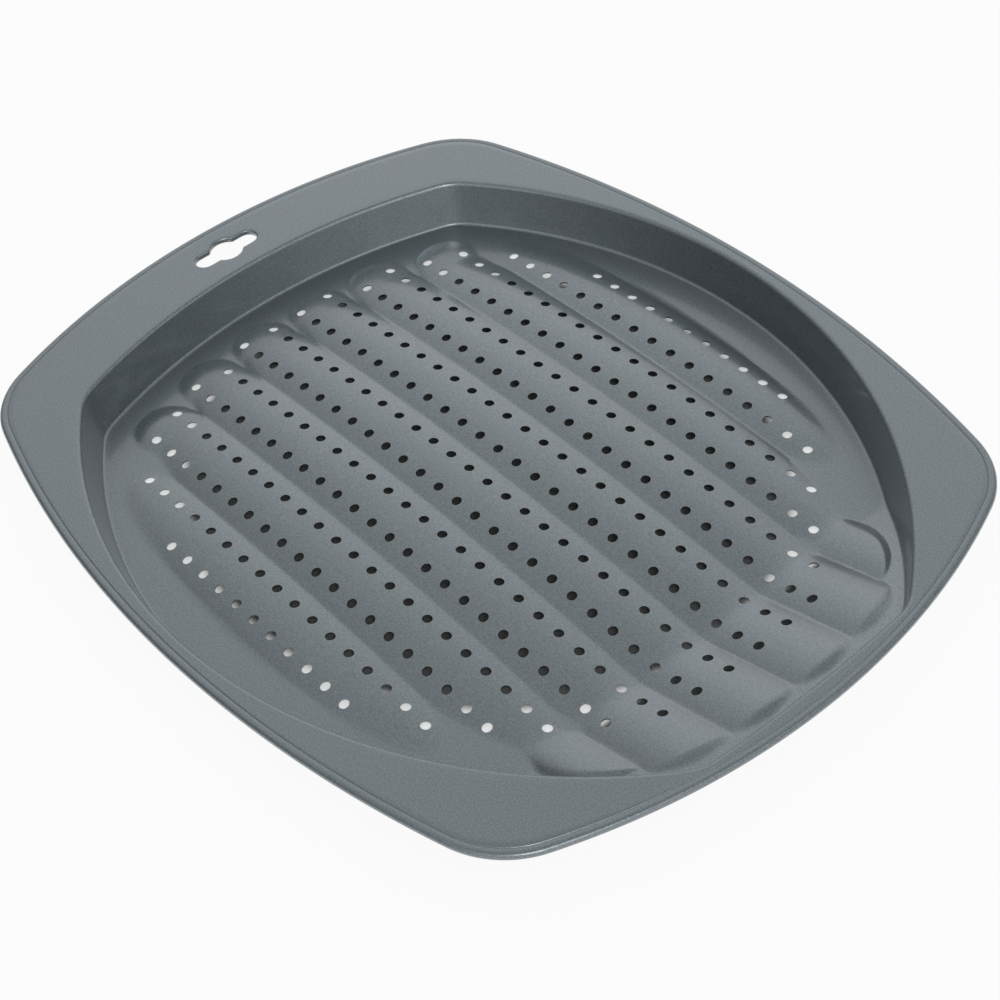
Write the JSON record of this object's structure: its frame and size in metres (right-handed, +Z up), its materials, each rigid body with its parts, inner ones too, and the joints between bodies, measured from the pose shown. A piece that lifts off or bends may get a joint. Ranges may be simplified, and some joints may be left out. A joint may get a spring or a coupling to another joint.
{
  "type": "crisper tray",
  "caption": "Shallow pressed steel baking tray with a crowned, ribbed and perforated floor, a ramp at one end, a hanging slot and a rolled rim.",
  "frame": {"origin": "middle of the rim outline, on the plane that the tray stands on", "axes": "+X along the ribs towards the ramp end, -X towards the hanging slot, +Z up"},
  "size_m": [0.374, 0.304, 0.02],
  "materials": {
    "coated_steel": "satin metallic grey non-stick coating",
    "wire_steel": "drawn wire"
  },
  "bodies": {
    "root": {"rim_wire": "wire_steel", "rolled_rim": "coated_steel", "flange": "coated_steel", "well_wall": "coated_steel", "crisper_floor": "coated_steel", "end_ramp": "coated_steel"}
  },
  "joints": []
}
